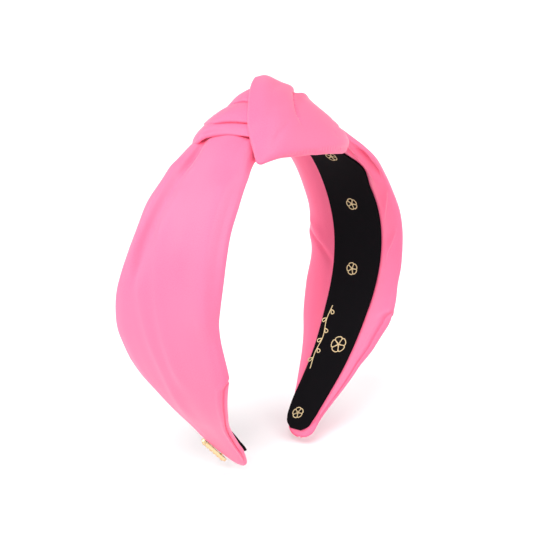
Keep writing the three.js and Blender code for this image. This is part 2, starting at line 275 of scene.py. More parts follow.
def grid_faces(rows, columns, first=0, flip=False):
    at = first + np.arange(rows * columns).reshape(rows, columns)
    quads = np.stack([at[:-1, :-1], at[:-1, 1:], at[1:, 1:], at[1:, :-1]], axis=-1).reshape(-1, 4)
    if flip:
        quads = quads[:, ::-1]
    return quads.tolist()


def cloth_coordinates(grid):
    """Distances along and across a placed grid, in metres, for the weave."""
    down = np.linalg.norm(np.diff(grid, axis=0), axis=-1).mean(axis=1)
    over = np.linalg.norm(np.diff(grid, axis=1), axis=-1).mean(axis=0)
    v = np.concatenate([[0], np.cumsum(down)])
    u = np.concatenate([[0], np.cumsum(over)])
    return np.stack(np.meshgrid(u, v), axis=-1)


def apply_modifiers(piece):
    bpy.context.view_layer.update()
    graph = bpy.context.evaluated_depsgraph_get()
    finished = bpy.data.meshes.new_from_object(piece.evaluated_get(graph), depsgraph=graph)
    piece.modifiers.clear()
    old = piece.data
    piece.data = finished
    finished.name = piece.name
    bpy.data.meshes.remove(old)


def weld(piece):
    """Joins the points that lie on each other where a surface closes in one point."""
    shape = bmesh.new()
    shape.from_mesh(piece.data)
    bmesh.ops.remove_doubles(shape, verts=shape.verts, dist=WELD_DISTANCE)
    shape.to_mesh(piece.data)
    shape.free()


def thicken(piece, thickness):
    """Gives a sheet its thickness, on the side away from its outer face."""
    solid = piece.modifiers.new("thickness", "SOLIDIFY")
    solid.thickness = thickness * MM
    solid.offset = -1
    solid.use_even_offset = False
    apply_modifiers(piece)


def cloth(name, grids, thickness=FABRIC_THICKNESS):
    """One piece of cloth from one or more grids of band coordinates, each with a flag that turns it over."""
    vertices, faces, uvs = [], [], []
    for grid, flip in grids:
        placed = place(grid)
        faces += grid_faces(*placed.shape[:2], first=len(vertices), flip=flip)
        vertices += placed.reshape(-1, 3).tolist()
        uvs += cloth_coordinates(placed).reshape(-1, 2).tolist()
    piece = piece_of(name, vertices, faces, uvs)
    weld(piece)
    thicken(piece, thickness)
    return piece


# ---- folds ----


def fold(s, y, path, height, front, back, fade=12):
    """A ridge, or a valley with a height below 0, along a path of (s, y) points.
    It falls off within front on the -y side and back on the +y side, and fades out at both ends."""
    path = np.array(path, float)
    middle = curve(path[:, 0], path[:, 1], np.clip(s, path[0, 0], path[-1, 0]))
    inside = ease(path[0, 0] - fade / 2, path[0, 0] + fade / 2, s)
    inside = inside * (1 - ease(path[-1, 0] - fade / 2, path[-1, 0] + fade / 2, s))
    offset = y - middle
    width = np.where(offset < 0, front, back)
    return height * inside * np.exp(-((offset / width) ** 2))


def ripple(s, y, seed, size, depth):
    """Slow, irregular unevenness of a soft cloth."""
    chance = np.random.RandomState(seed)
    total = np.zeros_like(s)
    for _ in range(WAVE_COUNT):
        angle = chance.uniform(-0.5, 0.5)
        pitch = size * chance.uniform(0.7, 1.8)
        phase = chance.uniform(0, 2 * math.pi)
        along = y * math.cos(angle) + 0.35 * s * math.sin(angle)
        total = total + np.sin(2 * math.pi * along / pitch + phase)
    return depth * total / WAVE_COUNT


# Unevenness of each layer: seed, pitch and depth.
PANEL_RIPPLE = (11, 26, 0.28)
MARGIN_RIPPLE = (5, 17, 0.25)
LINING_RIPPLE = (3, 30, 0.12)
WAVE_COUNT = 7

# The folds and the unevenness fade out before the tip.
CALMS_BETWEEN = (158, 182)

# Folds of the outer panel: path, height, front width, back width.
PANEL_FOLDS = {
    "left": (
        (((31, 9.8), (36, 10), (40, 10.2), (45, 10.5)), -2.8, 2.8, 1.1),
        (((47, 10.7), (56, 11.6), (66, 13), (90, 16)), -1.3, 3.6, 1.6),
        (((40, 14), (50, 14.8), (66, 16.6), (84, 19)), 1.2, 2, 4),
        (((10, 17), (24, 17), (40, 18)), -1.4, 5, 6),
        (((70, 17.5), (96, 12.1), (111, 8.6), (124, 5.4), (152, 3.6)), 0.5, 4, 2.6),
        (((66, 8.5), (95, 3.4), (110, 0.6), (130, -3)), 0.45, 4, 2.6),
        (((22, -2), (50, -4), (80, -6)), 0.8, 7, 6),
        (((46, -14), (74, -17.6), (104, -21.6)), 1.9, 3.2, 8),
    ),
    "right": (
        (((8, 4), (20, 4), (34, 3)), 7, 6.5, 7),
        (((30, -6), (55, -9), (80, -12)), 0.7, 4, 5),
        (((30, 6), (55, 8), (90, 10)), -0.8, 3, 4),
        (((70, 2), (100, 4), (135, 2)), 0.5, 4, 4),
    ),
}

# Folds of the turned-in margins on the inside, where a ridge rises towards the head.
MARGIN_FOLDS = {
    "right": (
        (((20, -17.4), (33, -18), (49, -19), (58, -20.4)), -3.2, 0.6, 2.2),
        (((20, -15), (40, -15.4), (62, -16.5)), 0.9, 1.2, 1.6),
        (((36, -12.4), (46, -12.8), (56, -13.2)), -2.2, 0.6, 1.2),
        (((67, -21), (81, -16.4)), -1.1, 0.8, 2),
        (((88, -22), (99, -16.6)), -1.1, 0.8, 2.2),
        (((93, 26), (101, 17), (108, 12)), -1.2, 0.9, 1.8),
        (((86, 25), (97, 18)), 0.8, 3, 2),
    ),
    "left": (
        (((24, -17), (45, -17.5), (70, -20)), -1.6, 1.6, 1.8),
        (((60, 18), (80, 19), (100, 21)), -0.9, 1.8, 1.6),
    ),
}

# A tuck starts at the near edge where the arms begin to taper. Its fold line turns down the arm and
# runs on to the tip, a little way in from the edge.
TUCK_FROM = 123.5
TUCK_INSETS = {"outside": (2.1, 2.8), "inside": (2.4, 2.0)}
TUCK_DEPTH = 0.95
TUCK_WIDTH = 0.5


def tuck(s, from_edge, side):
    first, last = TUCK_INSETS[side]
    line = (first + (last - first) * ease(145, 172, s)) * ease(TUCK_FROM, TUCK_FROM + 5, s)
    along = ease(TUCK_FROM, TUCK_FROM + 2, s) * (1 - ease(178, 184, s))
    groove = np.exp(-(((from_edge - line) / TUCK_WIDTH) ** 2))
    swell = np.exp(-(((from_edge - line - 1.6) / 1.2) ** 2))
    return along * (0.45 * swell - groove) * TUCK_DEPTH


# ---- the fabric cover of one arm ----

COVER_ROWS = 210
DOME_ROWS = 18
NEAR_NOSE = 5
FAR_NOSE = -6


def cover_outline(arm, s):
    """The cover's section at every distance s, from one turned-in margin over the outside to the other,
    as corners [y, h] of shape (stations, corners, 2)."""
    near, far = edge(arm, "near", s), edge(arm, "far", s)
    lining_near, lining_far = edge(arm, "lining_near", s), edge(arm, "lining_far", s)
    lining_end = TIPS[arm][3]
    closing = ease(lining_end - 5, lining_end + 1, s)
    meeting = ease(lining_end - 14, lining_end - 6, s)
    thinning = ease(*THINS_BETWEEN, s)
    lift = KNOT_LIFTS[arm] * (1 - ease(*LIFT_FADES_BETWEEN, s))
    top = PANEL_HEIGHT + (TIP_HEIGHT - PANEL_HEIGHT) * thinning + lift

    def margin(side, sign, width, lining_width):
        under = np.maximum(lining_width - 2.5, 0.4) * (1 - meeting)
        rim = np.minimum(lining_width + 0.2, 0.75 * width) * (1 - closing) + 0.45 * width * closing
        spare = width - rim
        depth = MARGIN_BULGES[side] * np.clip(spare / 12, 0, 1) * (1 - 0.8 * thinning)
        return [
            (sign * under, COVER_BOTTOM),
            (sign * rim, COVER_BOTTOM - 0.15),
            (sign * (rim + 0.3 * spare), COVER_BOTTOM - 0.3 - depth * 0.75),
            (sign * (rim + 0.62 * spare), COVER_BOTTOM - 0.3 - depth),
            (sign * (rim + 0.88 * spare), COVER_BOTTOM - 0.2 - depth * 0.6),
            (sign * width, EDGE_HEIGHT - depth * 0.15),
        ]

    def shoulder(sign, width):
        return [
            (sign * (width - 0.5), EDGE_HEIGHT + (top - EDGE_HEIGHT) * 0.4),
            (sign * width * 0.86, EDGE_HEIGHT + (top - EDGE_HEIGHT) * 0.74),
            (sign * width * 0.62, EDGE_HEIGHT + (top - EDGE_HEIGHT) * 0.93),
        ]

    corners = margin("near", -1, near, lining_near) + shoulder(-1, near)
    corners += [((far - near) * 0.12, top)]
    corners += (margin("far", 1, far, lining_far) + shoulder(1, far))[::-1]
    return np.stack([np.stack(np.broadcast_arrays(y, h), axis=-1) for y, h in corners], axis=1)


def relief_of(arm, distance, y, across, knots):
    """How far the folds stand out from the cover's plain shape."""
    near, far = knots[NEAR_NOSE], knots[FAR_NOSE]
    outside = ease(near + 0.5, near + 3.5, across) * (1 - ease(far - 3.5, far - 0.5, across))
    inside = (1 - ease(near - 2, near, across)) * ease(knots[1] - 0.5, knots[1] + 1.5, across)
    inside = inside + (1 - ease(knots[-2] - 1.5, knots[-2] + 0.5, across)) * ease(far, far + 2, across)
    panel = ripple(distance, y, *PANEL_RIPPLE)
    margin = ripple(distance, y, *MARGIN_RIPPLE)
    for path, height, front, back in PANEL_FOLDS[arm]:
        panel = panel + fold(distance, y, path, height, front, back)
    for path, height, front, back in MARGIN_FOLDS[arm]:
        margin = margin + fold(distance, y, path, height, front, back)
    calm = 1 - ease(*CALMS_BETWEEN, distance)
    tucks = tuck(distance, across - near, "outside") + tuck(distance, near - across, "inside")
    return calm * (outside * panel + inside * margin) + tucks


def cover_grid(arm):
    side = 1 if arm == "right" else -1
    dome_from, dome_to, dome_middle, _, dome_angle = TIPS[arm]
    s = np.linspace(COVER_START, dome_from, COVER_ROWS)
    outline = cover_outline(arm, s)
    chords = np.linalg.norm(np.diff(outline, axis=1), axis=-1).mean(axis=0)
    knots = np.concatenate([[0], np.cumsum(chords)])
    nose = knots[NEAR_NOSE]
    across = np.concatenate([
        np.linspace(0, nose - 5, 30)[:-1],
        np.linspace(nose - 5, nose + 6, 45)[:-1],
        np.linspace(nose + 6, knots[-1], 130),
    ])
    section = np.swapaxes(curve(knots, np.swapaxes(outline, 0, 1), across), 0, 1)
    distance = np.broadcast_to(s[:, None], section.shape[:2])
    along = np.gradient(section, axis=1)
    normal = np.stack([-along[..., 1], along[..., 0]], axis=-1)
    normal = normal / np.linalg.norm(normal, axis=-1, keepdims=True)
    relief = relief_of(arm, distance, section[..., 0], across, knots)
    section = section + normal * relief[..., None]

    turn = np.sin(np.radians(np.linspace(dome_angle, 90, DOME_ROWS)))
    advance = ((turn - turn[0]) / (1 - turn[0]))[1:]
    shrink = (1 - turn**DOME_POWER).clip(0) ** (1 / DOME_POWER)
    shrink = (shrink / shrink[0])[1:]
    middle = np.array([dome_middle, (EDGE_HEIGHT + TIP_HEIGHT) / 2])
    dome = middle + (section[-1] - middle) * shrink[:, None, None]
    section = np.concatenate([section, dome])
    s = np.concatenate([s, dome_from + (dome_to - dome_from) * advance])
    distance = np.broadcast_to(side * s[:, None], section.shape[:2])
    return np.concatenate([distance[..., None], section], axis=-1), arm == "right"


def make_cover(arm):
    return cloth(f"cover_{arm}_fabric", [cover_grid(arm)])


# ---- the knot ----

# The wrap: rows run from under the lining at the front, over the top, to under the lining at the back.
# Columns run from the left edge of the strap, over the crease, to the right edge of the shoulder.
WRAP_ROWS = (
    ((-29, -10, 0.9), (-22, -10, 0.9), (-14, -10, 0.9), (-4, -10, 0.9), (8, -10, 0.9), (16, -10, 0.9),
     (22, -10, 0.9)),
    ((-32, -17, 1.5), (-24, -17, 0), (-16, -18, -2), (-6, -19, -4), (7, -19, -5), (16.5, -18, -4.5),
     (22, -16, -3)),
    ((-35, -22, 3.2), (-28, -24, 0.8), (-19, -26, -3), (-8, -27, -6), (6, -27, -7.6), (16.6, -25, -7.4),
     (22.4, -21.5, -5.6)),
    ((-35.5, -21.5, 4.6), (-28, -25.5, 3.2), (-20, -27.8, 0.2), (-10, -29, -3), (5, -29, -4.6),
     (17, -26.5, -4.2), (24.4, -21.8, -3)),
    ((-32, -18, 6.4), (-25, -22, 7.5), (-18.5, -24.5, 6), (-11, -25, 4), (5, -25.5, 1.2), (17.8, -23.5, 0.4),
     (26.4, -20.3, -0.6)),
    ((-28, -14, 9), (-21, -17.5, 11), (-15, -19.5, 10.5), (-8, -19.5, 8.6), (5, -20, 6.4), (17.5, -17.5, 5),
     (26, -15, 3)),
    ((-24, -10.5, 12.5), (-17, -12.5, 14.3), (-10.5, -13.5, 13.8), (-2.5, -13.5, 11.3), (6, -13.5, 10.6),
     (15.5, -11.5, 8.8), (22.4, -8, 7.2)),
    ((-16.5, -4.5, 16), (-11, -6.5, 17.3), (-5, -7.5, 16.8), (3.6, -7.5, 13.1), (9, -7.5, 12.6),
     (15.5, -5.5, 12), (20.6, -2.5, 10.6)),
    ((-8, 2, 19.3), (-3, -0.5, 19.8), (4, -1.4, 17.9), (10.8, -1.5, 14.4), (13, -2, 14), (17, -1.4, 14.3),
     (21, 0.6, 13.2)),
    ((-2, 6.5, 20.3), (2.5, 5.5, 20.5), (9, 4.6, 17.6), (14.8, 4.4, 14.6), (16.8, 3.6, 14.4),
     (19.6, 3.4, 14.4), (22.4, 5.3, 12.6)),
    ((3, 11.5, 18.6), (6.5, 10.4, 19.2), (11, 9.6, 18.2), (15.4, 9.2, 16), (18, 8.8, 14.6),
     (20.8, 9.2, 12.8), (23, 10.5, 10.8)),
    ((8, 16.5, 14.5), (11, 15.4, 15.8), (15, 14.6, 15.4), (19, 14, 13.6), (21.5, 13.6, 12.2),
     (23.8, 13.8, 10.4), (25.8, 15, 8.4)),
    ((12, 20.8, 9.6), (15.5, 20.3, 11), (19, 19.5, 10.8), (22.5, 18.8, 9.6), (25, 18.5, 8.4),
     (27, 18.6, 6.8), (29, 19, 5)),
    ((14.5, 24, 4), (18.5, 24.6, 4.8), (22.5, 24.6, 4.6), (26, 24, 3.6), (28.5, 23.4, 2.8),
     (30.5, 22.8, 1.8), (32, 22, 0.8)),
    ((15, 24.6, -0.6), (19, 25.8, -0.6), (23, 26.2, -1), (27, 25.6, -1.4), (29.5, 24.8, -1.6),
     (31.5, 24, -1.6), (33, 22.8, -1.4)),
    ((14, 20, -1.4), (18, 21, -2.2), (22, 21, -2.6), (26, 20.6, -2.6), (28.5, 20, -2.4), (30.5, 19.6, -2),
     (32, 19, -1.4)),
    ((13, 11, 0.9), (17, 11, 0.9), (21, 11, 0.9), (25, 11, 0.9), (27.5, 11, 0.9), (29.5, 11, 0.9),
     (31, 11, 0.9)),
)


def roll_under(grid, first, reach, drop):
    """Adds columns that turn a grid's edge under, towards the middle of the knot."""
    order = grid if first else grid[:, ::-1]
    rim, next_in = order[:, 0], order[:, 3]
    inwards = next_in - rim
    inwards = inwards / np.linalg.norm(inwards, axis=-1, keepdims=True)
    heart = rim * (1, 0.35, 0.35) + (0, 0, 1.5)
    down = heart - rim
    down = down - inwards * (down * inwards).sum(axis=-1, keepdims=True)
    down = down / np.linalg.norm(down, axis=-1, keepdims=True)
    turns = np.linspace(0, math.pi, 7)[1:]
    added = [rim - inwards * drop / 2 * math.sin(t) + down * drop / 2 * (1 - math.cos(t)) for t in turns]
    added += [added[-1] + inwards * reach * share for share in (0.3, 0.65, 1)]
    strip = np.stack(added[::-1], axis=1)
    wide = np.concatenate([strip, order], axis=1)
    return wide if first else wide[:, ::-1]


# The strap's edge lies over the shoulder in a lip before the third column, highest near the top.
LIP_COLUMN = 2.72
LIP_BACK = 0.2
LIP_HEIGHTS = ((4, 0), (5, 0.4), (6, 0.8), (7, 1.1), (8, 0.9), (9, 0.7), (10, 0.5), (11, 0.3), (12, 0))

# Creases of the wrap: path through (row, column), height, width in millimetres.
WRAP_CREASES = (
    (((4.6, 2.98), (6, 2.97), (8, 2.95), (10, 2.98), (12, 3.05)), -1.5, 0.8),
    (((2.4, 1.0), (2.7, 2.4), (2.75, 4), (2.6, 5.6)), -0.45, 0.8),
    (((3.6, 0.7), (4.4, 1.6), (4.8, 2.4)), -0.5, 1.2),
    (((5.2, 5.9), (4.6, 5.2), (4.3, 4.3)), -0.5, 1.1),
    (((4.0, 5.9), (3.7, 5.0), (3.8, 4.0)), -0.45, 1.0),
    (((7.2, 5.9), (6.3, 5.5), (5.4, 5.2), (4.8, 4.9)), -0.5, 1.3),
    (((9.5, 3.6), (8.2, 4.0), (6.8, 4.2)), -0.45, 1.5),
    (((5.4, 1.2), (6.8, 1.6), (8.4, 1.8)), -0.3, 1.8),
)


def with_lip(rows):
    """The wrap's rows with one more column, on the strap's rounded edge."""
    rows = np.array(rows, float)
    lip = rows[:, 3] + LIP_BACK * (rows[:, 2] - rows[:, 3])
    places, heights = zip(*LIP_HEIGHTS)
    lip[:, 2] += np.interp(np.arange(len(rows)), places, heights)
    return np.insert(rows, 3, lip, axis=1)


def crease(grid, rows, columns, path, height, width):
    """A crease along a path through a grid's rows and columns, as a height at every point of the grid."""
    path = np.array(path, float)
    share = np.linspace(0, 1, 40)
    steps = np.linspace(0, 1, len(path))
    line = np.stack([curve(steps, path[:, i], share) for i in (0, 1)], axis=-1)
    at_row = np.interp(line[:, 0], rows, np.arange(len(rows))).round().astype(int)
    at_column = np.interp(line[:, 1], columns, np.arange(len(columns))).round().astype(int)
    marks = grid[at_row, at_column]
    strength = np.minimum(1, 4 * np.minimum(share, 1 - share) + 0.15)
    away = np.linalg.norm(grid[:, :, None, :] - marks, axis=-1)
    return height * (strength * np.exp(-((away / width) ** 2))).max(axis=-1)


def raised(grid, heights):
    """A grid of band coordinates moved out along its own normal."""
    down, over = np.gradient(grid, axis=0), np.gradient(grid, axis=1)
    normal = np.cross(over, down)
    normal = normal / np.linalg.norm(normal, axis=-1, keepdims=True)
    return grid + normal * np.sign(normal[len(grid) // 2, grid.shape[1] // 2, 2]) * heights[..., None]


# The wrap's left and right edges turn under: how far the cloth reaches in, and how thick the roll is.
LEFT_ROLL = (5, 1.6)
RIGHT_ROLL = (4, 1.4)
WRAP_FINE_ROWS = 190
WRAP_FINE_COLUMNS = 150


def make_wrap():
    row_knots = np.arange(len(WRAP_ROWS), dtype=float)
    columns = np.array([0, 1, 2, LIP_COLUMN, 3, 4, 5, 6])
    grid = net(with_lip(WRAP_ROWS), row_knots, columns, WRAP_FINE_ROWS, WRAP_FINE_COLUMNS)
    fine_rows = np.linspace(0, row_knots[-1], WRAP_FINE_ROWS)
    fine_columns = np.linspace(0, columns[-1], WRAP_FINE_COLUMNS)
    heights = sum(crease(grid, fine_rows, fine_columns, *one) for one in WRAP_CREASES)
    grid = raised(grid, heights)
    grid = roll_under(grid, True, *LEFT_ROLL)
    grid = roll_under(grid, False, *RIGHT_ROLL)
    return cloth("knot_wrap_fabric", [(grid, True)])


# The left arm's cloth goes in under the strap in three pleats that overlap like tiles.
# Each row of a pleat runs from the front, under the strap, to the back; the first row is its folded edge.
PLEATS = (
    (
        ((-25.4, -18, 6.5), (-27, -13.5, 9.2), (-27.8, -3.5, 9.5), (-28.9, 3, 9.4), (-29.8, 6.5, 9.1),
         (-31.2, 9.8, 8.5), (-32.4, 12, 6.9), (-32.4, 14.4, 4.6), (-32, 16.4, 2), (-32, 17, -0.6),
         (-31, 12, 0.4)),
        ((-21, -18, 7.5), (-23, -13.5, 10.4), (-24, -4, 11.2), (-25.2, 2, 11.3), (-26.2, 6, 11.2),
         (-27, 9, 10.8), (-27.6, 12.4, 9), (-27.4, 16.4, 6), (-27, 19.4, 2.2), (-27, 19, -1.4),
         (-27, 14, 0.4)),
        ((-11, -18, 8), (-12, -13, 10.5), (-13, -5, 12), (-13, 2, 12), (-13, 6, 11.8), (-13, 9, 11.4),
         (-13, 13, 9), (-13, 18, 6), (-13, 23, 2), (-13, 22, -1.6), (-13, 14, 0.4)),
        ((0, -17, 8), (2, -12, 10.5), (4, -5, 12), (6, 2, 12), (7, 6, 11.6), (8, 9.5, 10.6), (10, 13.5, 8.6),
         (12, 18, 6), (14, 23.4, 2), (14, 22.4, -1.6), (14, 14, 0.4)),
    ),
    (
        ((-19.6, -14, 9), (-22.6, -9.5, 12.3), (-23.6, -4, 12.8), (-24.7, 2, 12.9), (-25.6, 6, 12.4),
         (-25.4, 9, 11.5), (-24.4, 12, 10), (-22, 16, 7.8), (-18, 20.5, 4.8)),
        ((-14, -13, 10.4), (-17, -9, 13.6), (-18.6, -4, 14.6), (-20, 2, 14.4), (-20.6, 6, 13.5),
         (-20.2, 9, 12.4), (-19, 12, 10.7), (-16.5, 16, 8.4), (-13, 21, 5)),
        ((-4, -12, 11), (-5, -8, 13.5), (-6, -3, 14.4), (-7, 3, 14), (-8, 6.5, 13.2), (-8, 9.5, 12.2),
         (-7, 12.5, 10.8), (-4, 17, 8.6), (0, 21.6, 5.4)),
        ((4, -10, 11), (5, -6, 13), (6, 0, 14), (7, 5, 13.8), (8, 8, 13), (9, 11, 12), (10, 14, 10.8),
         (12, 18.4, 8), (14, 22.4, 4.6)),
    ),
    (
        ((-12.4, -8.5, 12.6), (-13.6, -4, 15.6), (-13.6, -0.5, 15.9), (-13.4, 3.4, 15.3), (-13.6, 6.2, 14.3),
         (-13.6, 9, 12.8), (-12, 12.6, 10.6), (-6.5, 17, 8.4), (0, 21, 5.6)),
        ((-8.6, -6, 13.6), (-9.4, -2, 16.6), (-9.4, 1.4, 17.2), (-9, 5, 16.5), (-8.6, 8, 15.4),
         (-7.8, 10.6, 14.1), (-5.5, 13.6, 12.3), (-1.5, 17.4, 9.9), (4, 21.4, 6.6)),
        ((-2, -3, 14), (-2, 1, 16.6), (-2, 4, 17.4), (-1.5, 7, 16.8), (-0.5, 9.5, 15.8), (0.6, 12, 14.4),
         (2.5, 14.8, 12.6), (5.4, 18.2, 10), (9, 21.8, 6.8)),
        ((6, 0, 13), (6, 4, 15), (6, 7, 16), (6.5, 10, 15.4), (7.5, 12.5, 14.4), (8.4, 14.2, 13.4),
         (9.6, 16.2, 12), (11.6, 19, 9.4), (14, 22.6, 6)),
    ),
)
PLEAT_ROLL = (6, 1.7)


def pleat_grid(rows):
    rows = np.array(rows, float)
    knots = np.arange(len(rows), dtype=float)
    columns = np.linspace(0, 1, rows.shape[1])
    grid = net(rows, knots, columns, 70, 110)
    return np.swapaxes(roll_under(np.swapaxes(grid, 0, 1), True, *PLEAT_ROLL), 0, 1)


def make_pleats():
    return cloth("knot_pleats_fabric", [(pleat_grid(rows), True) for rows in PLEATS])


# ---- lining ribbon ----

LOOSE_END = 1.5


def to_round_end(end, rounding, straight_count, round_count):
    """Distances from the crown to an end whose last stretch is rounded."""
    start = end - rounding
    turn = np.linspace(0, math.pi / 2, round_count)[1:]
    return np.concatenate([np.linspace(0, start, straight_count), start + rounding * np.sin(turn)])


def lining_height(arm, s, y):
    """The lining's inner face. The end of the left ribbon has come a little loose."""
    loose = LOOSE_END * ease(150, 172, s) if arm == "left" else 0
    return ripple(s, y, *LINING_RIPPLE) - loose


def make_lining(arm):
    side = 1 if arm == "right" else -1
    s = to_round_end(TIPS[arm][3], LINING_ROUNDING, 120, 16)
    near, far = edge(arm, "lining_near", s), edge(arm, "lining_far", s)
    share = np.linspace(0, 1, 41)
    y = -near[:, None] + (near + far)[:, None] * share
    distance = np.broadcast_to(s[:, None], y.shape)
    grid = np.stack([side * distance, y, lining_height(arm, distance, y)], axis=-1)
    return cloth(f"lining_{arm}_ribbon", [(grid, arm == "left")], LINING_THICKNESS)


# ---- prints on the lining and beads on the badge ----

PRINT_LIFT = 0.06
PRINT_LINE = 0.42
ROSETTES = ((50, 1.5, 3.4), (78, 0, 3.4), (109, 0.8, 3.4), (144, -2.4, 4.6), (179.5, 2.2, 3.2))
VINE = ((127, 7.2), (134, 8.2), (142, 7.0), (150, 7.8), (158, 6.6))
PETAL_COUNT = 5
PETAL_LENGTH_SHARE = 0.8
PETAL_WIDTH_SHARE = 0.75
ROSETTE_TURN = 0.3
LEAF_COUNT = 6
LEAF_LENGTH = 2.6
LEAF_WIDTH_SHARE = 0.6
LEAF_ANGLE = 0.8


def stroke(path, closed=False):
    """The two edges of a printed line along a path of (s, y) points."""
    path = np.asarray(path, float)
    if closed:
        path = np.concatenate([path, path[:1]])
        ahead = np.concatenate([path[1:], path[1:2]]) - np.concatenate([path[-2:-1], path[:-1]])
    else:
        ahead = np.gradient(path, axis=0)
    ahead = ahead / np.linalg.norm(ahead, axis=-1, keepdims=True)
    aside = np.stack([-ahead[:, 1], ahead[:, 0]], axis=-1) * PRINT_LINE / 2
    return np.stack([path - aside, path + aside], axis=1)


def petal(centre, angle, length, width):
    """A closed leaf outline that starts at its centre point."""
    t = np.linspace(0, 2 * math.pi, 21)[:-1]
    along = length * (1 - np.cos(t)) / 2
    aside = width / 2 * np.sin(t) * (1 - np.cos(t)) / 1.3
    turn_s, turn_y = math.cos(angle), math.sin(angle)
    return np.stack([
        centre[0] + along * turn_s - aside * turn_y,
        centre[1] + along * turn_y + aside * turn_s,
    ], axis=-1)


def make_prints():
    """Rosettes down the middle of the right arm's lining, and a leafy vine along its far edge."""
    strokes = []
    for s, y, radius in ROSETTES:
        length, width = radius * PETAL_LENGTH_SHARE, radius * PETAL_WIDTH_SHARE
        for i in range(PETAL_COUNT):
            angle = 2 * math.pi * i / PETAL_COUNT + ROSETTE_TURN
            strokes.append(stroke(petal((s, y), angle, length, width), closed=True))
    knots = np.linspace(0, 1, len(VINE))
    vine = curve(knots, VINE, np.linspace(0, 1, 60))
    strokes.append(stroke(vine))
    for i in range(LEAF_COUNT):
        foot = vine[4 + i * 9]
        side = 1 if i % 2 else -1
        leaf = petal(foot, side * LEAF_ANGLE, LEAF_LENGTH, LEAF_LENGTH * LEAF_WIDTH_SHARE)
        strokes.append(stroke(leaf, closed=True))
    vertices, faces = [], []
    for edges in strokes:
        s, y = edges[..., 0], edges[..., 1]
        grid = np.stack([s, y, lining_height("right", s, y) - PRINT_LIFT], axis=-1)
        faces += grid_faces(*grid.shape[:2], first=len(vertices))
        vertices += place(grid).reshape(-1, 3).tolist()
    return piece_of("lining_right_prints", vertices, faces)


BEAD_COUNT = 6
BEAD_RADIUS = 1.15
BEAD_HEIGHT_SHARE = 0.95
BEAD_INSET_SHARE = 0.9
RIM_RADIUS = 0.32


def badge_axes(plate):
    """The badge's length direction, outward direction, and its outer face's middle and points."""
    mesh = plate.data
    points = np.array([v.co for v in mesh.vertices])
    spread = sum(p.area * np.outer(p.normal, p.normal) for p in mesh.polygons)
    axes = np.linalg.eigh(spread)[1]
    length, out = axes[:, 0], axes[:, 2]
    middle = (points.max(axis=0) + points.min(axis=0)) / 2
    out = out * np.sign(out @ (middle - (0, middle[1], -0.08)))
    outermost = points[points @ out > (points @ out).max() - 0.00005]
    return length, out, (outermost.max(axis=0) + outermost.min(axis=0)) / 2, outermost


def make_beads(plate):
    length, out, middle, outermost = badge_axes(plate)
    across = np.cross(out, length)
    half_length = np.ptp(outermost @ length) / 2
    half_width = np.ptp(outermost @ across) / 2
    shape = bmesh.new()
    turned = Matrix((length, across, out)).transposed().to_4x4()
    for share in np.linspace(-1, 1, BEAD_COUNT):
        foot = middle + length * share * (half_length - half_width * BEAD_INSET_SHARE)
        bead = Matrix.Translation(foot) @ turned @ Matrix.Diagonal((1, 1, BEAD_HEIGHT_SHARE, 1))
        bmesh.ops.create_uvsphere(
            shape, u_segments=24, v_segments=12, radius=BEAD_RADIUS * MM, matrix=bead
        )
    angles = np.linspace(0, 2 * math.pi, 49)[:-1]
    straight = half_length - half_width
    inset = half_width - RIM_RADIUS * MM
    rim = []
    for a in angles:
        forward = inset * math.cos(a) + math.copysign(straight, math.cos(a))
        rim.append(middle + length * forward + across * inset * math.sin(a))
    section = np.linspace(0, 2 * math.pi, 13)[:-1]
    rings = []
    for i, point in enumerate(rim):
        ahead = rim[(i + 1) % len(rim)] - rim[i - 1]
        aside = np.cross(out, ahead / np.linalg.norm(ahead))
        ring = []
        for b in section:
            outwards = aside * math.cos(b) + out * math.sin(b)
            ring.append(shape.verts.new(point + outwards * RIM_RADIUS * MM))
        rings.append(ring)
    for i, ring in enumerate(rings):
        following = rings[(i + 1) % len(rings)]
        for j in range(len(section)):
            k = (j + 1) % len(section)
            shape.faces.new((ring[j], following[j], following[k], ring[k]))
    mesh = bpy.data.meshes.new("badge_beads")
    bmesh.ops.recalc_face_normals(shape, faces=shape.faces)
    shape.to_mesh(mesh)
    shape.free()
    mesh.polygons.foreach_set("use_smooth", [True] * len(mesh.polygons))
    beads = bpy.data.objects.new("badge_beads", mesh)
    bpy.context.scene.collection.objects.link(beads)
    return beads


# ---- inner layers ----


BAR_SQUARENESS = 0.35
BAR_ROUNDNESS = 0.6


def bar_mesh(name, side, s, half_width, bottom, top):
    """A long bar with rounded long edges, closed at both ends."""
    corner = np.linspace(0, 2 * math.pi, 33)[:-1]
    across = np.sign(np.cos(corner)) * np.abs(np.cos(corner)) ** BAR_SQUARENESS
    up = np.sign(np.sin(corner)) * np.abs(np.sin(corner)) ** BAR_ROUNDNESS
    y = half_width[:, None] * across
    h = (bottom + top) / 2 + (top - bottom) / 2 * up
    grid = np.stack([
        np.broadcast_to(side * s[:, None], y.shape),
        y,
        np.broadcast_to(h, y.shape),
    ], axis=-1)
    placed = place(grid)
    rows, columns = placed.shape[:2]
    at = np.arange(rows * columns).reshape(rows, columns)
    over = np.roll(at, -1, axis=1)
    quads = np.stack([at[:-1], over[:-1], over[1:], at[1:]], axis=-1).reshape(-1, 4)
    ends = [at[0, ::-1].tolist(), at[-1].tolist()]
    if side < 0:
        quads = quads[:, ::-1]
        ends = [end[::-1] for end in ends]
    return piece_of(name, placed.reshape(-1, 3).tolist(), quads.tolist() + ends)


def make_core(arm):
    side = 1 if arm == "right" else -1
    s = to_round_end(CORE_END, CORE_ROUNDING, 110, 10)
    width = curve(*zip(*CORE_WIDTHS), s)
    return bar_mesh(f"core_{arm}_band", side, s, width, CORE_BOTTOM, CORE_BOTTOM + CORE_THICKNESS)


